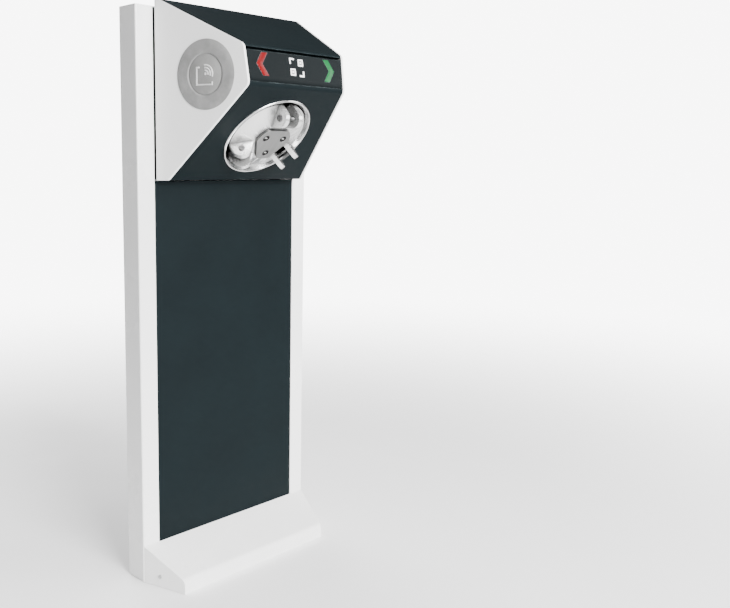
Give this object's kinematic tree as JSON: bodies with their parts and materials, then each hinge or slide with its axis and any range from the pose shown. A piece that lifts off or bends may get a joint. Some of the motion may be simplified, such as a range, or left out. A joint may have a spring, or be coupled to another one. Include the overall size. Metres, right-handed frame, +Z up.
{
  "type": "visitor counter turnstile",
  "caption": "Slim free-standing tripod turnstile pedestal with a tapered head, inclined rotor with forks for barrier arms, entry indicators and side readers.",
  "frame": {"origin": "on the floor, below the middle of the column's front face", "axes": "+X to the right as seen from the front, -Y forward to the visitor, +Z up"},
  "size_m": [0.405, 0.2424, 1.05],
  "materials": {
    "white_paint": "gloss white powder coat",
    "dark_paint": "satin anthracite powder coat",
    "dark_plastic": "satin",
    "red_lens": "lit lens",
    "green_lens": "lit lens",
    "white_lens": "lit lens",
    "circuit_board": "solder mask",
    "reader_plastic": "fine textured grey",
    "satin_steel": "satin stainless",
    "cast_aluminium": "painted silver casting",
    "black_steel": "black oxide",
    "zinc_steel": "zinc plated",
    "screw_steel": "plated screw",
    "ground_steel": "ground",
    "gear_plastic": "natural nylon",
    "black_plastic": "moulded",
    "rubber": "matte",
    "solenoid_coil": "coil tape",
    "galvanised_case": "perforated case"
  },
  "bodies": {
    "pedestal": {"column_body": "white_paint", "rear_cover": "white_paint", "column_top_cap": "white_paint", "base_cover": "white_paint", "side_panel_left": "white_paint", "side_panel_right": "white_paint", "front_panel": "dark_paint", "hood": "dark_paint", "indicator_band": "dark_plastic", "chevron_red": "red_lens", "chevron_green": "green_lens", "band_icon": "white_lens", "indicator_board": "circuit_board", "reader_board_left": "circuit_board", "reader_board_right": "circuit_board", "control_board": "circuit_board", "reader_disc_left": "reader_plastic", "reader_disc_right": "reader_plastic", "bezel_ring": "satin_steel", "bearing_housing": "cast_aluminium", "base_plate": "zinc_steel", "head_back_plate": "zinc_steel", "mechanism_plate": "zinc_steel", "mechanism_sides": "zinc_steel", "pawl_pins": "zinc_steel", "board_standoffs": "zinc_steel", "base_cover_screws": "screw_steel", "rear_cover_screws": "screw_steel", "head_bolts": "screw_steel", "mechanism_bolts": "screw_steel", "lock_body": "screw_steel", "bearing_outer_rings": "ground_steel", "bearing_balls": "ground_steel", "pawl_springs": "ground_steel", "sensor_fork": "black_plastic", "damper_body": "black_plastic", "wiring_loom": "black_plastic", "cable_grommet": "rubber", "solenoids": "solenoid_coil", "power_supply": "galvanised_case"},
    "rotor": {"rotor_body": "cast_aluminium", "fork_pins": "zinc_steel", "hub_cap": "satin_steel", "hub_screws": "black_steel", "rotor_shaft": "ground_steel", "shaft_nut": "zinc_steel", "lock_wheel": "ground_steel", "damper_gear": "gear_plastic", "sensor_disc": "black_plastic", "bearing_inner_rings": "ground_steel"},
    "damper_pinion": {"damper_pinion": "gear_plastic"},
    "pawl_left": {"pawl_left": "ground_steel"},
    "pawl_right": {"pawl_right": "ground_steel"},
    "plunger_left": {"plunger_left": "ground_steel"},
    "plunger_right": {"plunger_right": "ground_steel"},
    "lock_barrel": {"lock_barrel": "zinc_steel"}
  },
  "joints": [
    {"name": "rotor_spin", "type": "hinge", "parent": "pedestal", "child": "rotor", "pos_m": [0, -0.10933, 0.81883], "axis": [0, -0.7071, -0.7071], "continuous": true},
    {"name": "damper_spin", "type": "hinge", "parent": "pedestal", "child": "damper_pinion", "pos_m": [0, -0.07256, 0.78206], "axis": [0, -0.7071, -0.7071], "continuous": true},
    {"name": "pawl_left_swing", "type": "hinge", "parent": "pedestal", "child": "pawl_left", "pos_m": [-0.072, -0.10933, 0.81883], "axis": [0, -0.7071, -0.7071], "range_deg": [0, 3], "stiffness_Nm_per_rad": 1, "springref_deg": -11.46},
    {"name": "pawl_right_swing", "type": "hinge", "parent": "pedestal", "child": "pawl_right", "pos_m": [0.072, -0.10933, 0.81883], "axis": [0, 0.7071, 0.7071], "range_deg": [0, 3], "stiffness_Nm_per_rad": 1, "springref_deg": -11.46},
    {"name": "plunger_left_push", "type": "slide", "parent": "pedestal", "child": "plunger_left", "axis": [-1, 0, 0], "range_m": [0, 0.0035]},
    {"name": "plunger_right_push", "type": "slide", "parent": "pedestal", "child": "plunger_right", "axis": [1, 0, 0], "range_m": [0, 0.0035]},
    {"name": "lock_turn", "type": "hinge", "parent": "pedestal", "child": "lock_barrel", "pos_m": [0, 0.05, 0.888], "axis": [0, 1, 0], "range_deg": [0, 90]}
  ],
  "couplings": [
    {"joint": "damper_spin", "follows": "rotor_spin", "ratio": -3.3333},
    {"joint": "plunger_left_push", "follows": "pawl_left_swing", "m_per_rad": 0.066},
    {"joint": "plunger_right_push", "follows": "pawl_right_swing", "m_per_rad": 0.066}
  ]
}
